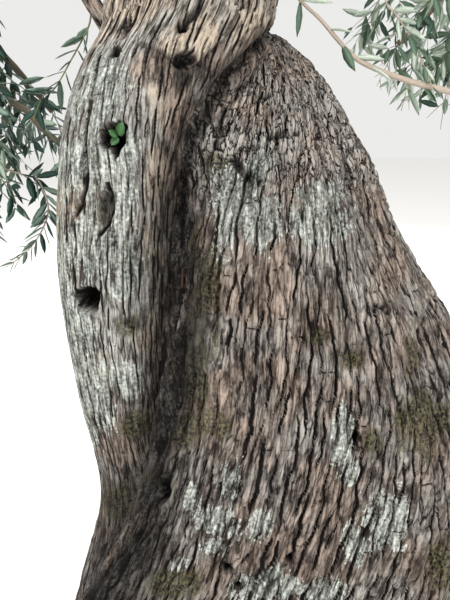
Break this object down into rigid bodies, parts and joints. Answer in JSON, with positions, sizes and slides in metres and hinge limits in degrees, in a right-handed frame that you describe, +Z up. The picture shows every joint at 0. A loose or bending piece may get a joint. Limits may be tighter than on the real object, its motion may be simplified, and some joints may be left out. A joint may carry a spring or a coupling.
{
  "type": "olive tree",
  "caption": "Old olive tree: a stout twisted trunk of fused strands with a deep cleft and root flare, a low fork of rising boughs and an open rounded crown.",
  "frame": {"origin": "on the ground, in the flat cut under the trunk, near the middle of its foot", "axes": "+Z up, -Y towards the side with the deep cleft, +X to the right of that side"},
  "size_m": [5.5888, 5.6365, 5.5834],
  "materials": {
    "bark": "rough fissured bark with grey lichen and some moss",
    "foliage": "leathery narrow leaves, dark grey-green above and paler beneath"
  },
  "bodies": {
    "root": {"bough_front": "bark", "bough_left": "bark", "bough_rear": "bark", "bough_rear_left": "bark", "bough_right": "bark", "branch_low_left": "bark", "branch_low_right": "bark", "foliage_front_a": "foliage", "foliage_front_b": "foliage", "foliage_front_upper": "foliage", "foliage_left_a": "foliage", "foliage_left_b": "foliage", "foliage_left_upper": "foliage", "foliage_low_left": "foliage", "foliage_low_right": "foliage", "foliage_rear_a": "foliage", "foliage_rear_b": "foliage", "foliage_rear_left_a": "foliage", "foliage_rear_left_b": "foliage", "foliage_rear_left_upper": "foliage", "foliage_rear_upper": "foliage", "foliage_right_a": "foliage", "foliage_right_b": "foliage", "foliage_right_upper": "foliage", "foliage_top": "foliage", "limb_front_a": "bark", "limb_front_b": "bark", "limb_left_a": "bark", "limb_left_b": "bark", "limb_rear_a": "bark", "limb_rear_b": "bark", "limb_rear_left_a": "bark", "limb_rear_left_b": "bark", "limb_right_a": "bark", "limb_right_b": "bark", "limb_top": "bark", "trunk": "bark"}
  },
  "joints": []
}
